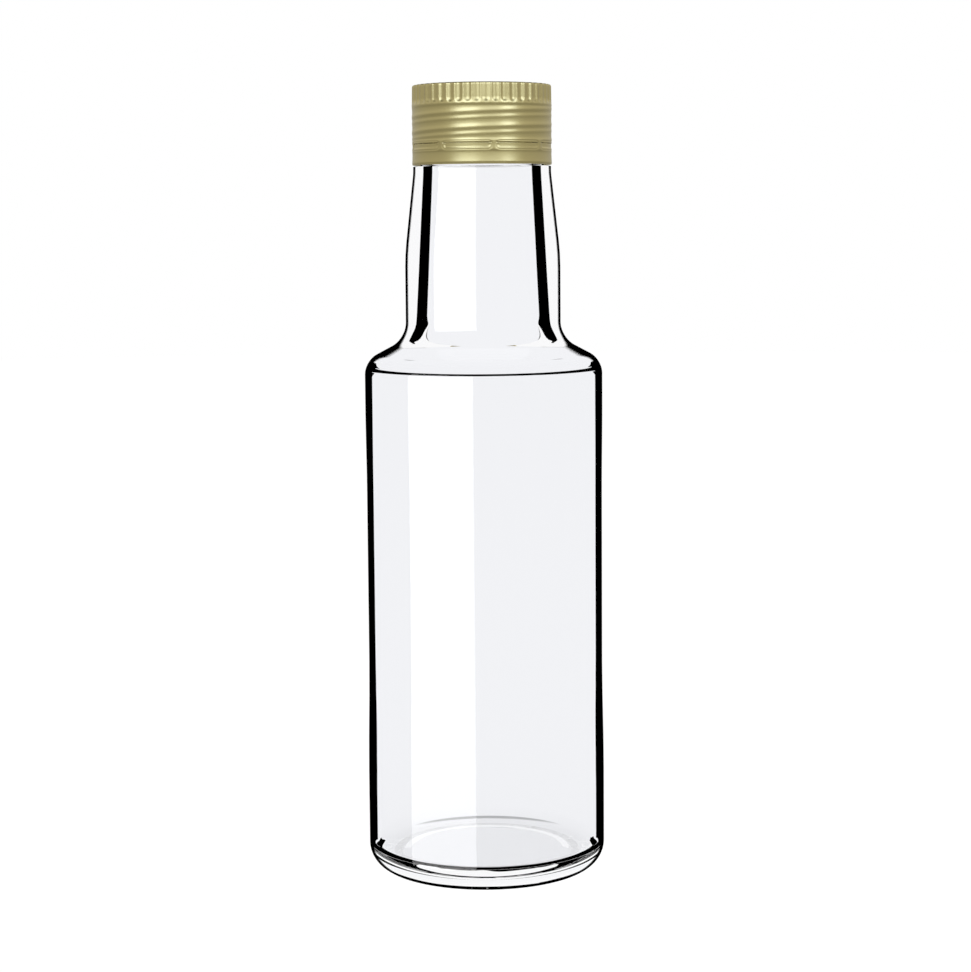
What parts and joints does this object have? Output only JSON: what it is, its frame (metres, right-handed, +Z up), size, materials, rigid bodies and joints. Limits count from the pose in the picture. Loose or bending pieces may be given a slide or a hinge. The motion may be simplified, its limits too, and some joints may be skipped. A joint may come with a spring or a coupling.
{
  "type": "glass bottle",
  "caption": "Empty clear glass bottle with a round body, sloping shoulder, thick neck and a gold rolled-on aluminium screw cap with a tamper band.",
  "frame": {"origin": "centre of the ring the bottle stands on, at the resting plane", "axes": "+Z up along the bottle's axis, -Y towards the viewer"},
  "size_m": [0.0552, 0.0552, 0.1814],
  "materials": {
    "clear_glass": "clear, smooth, slightly wavy inside",
    "gold_aluminium": "satin gold lacquer"
  },
  "bodies": {
    "root": {"glass_bottle": "clear_glass", "screw_cap": "gold_aluminium"}
  },
  "joints": []
}
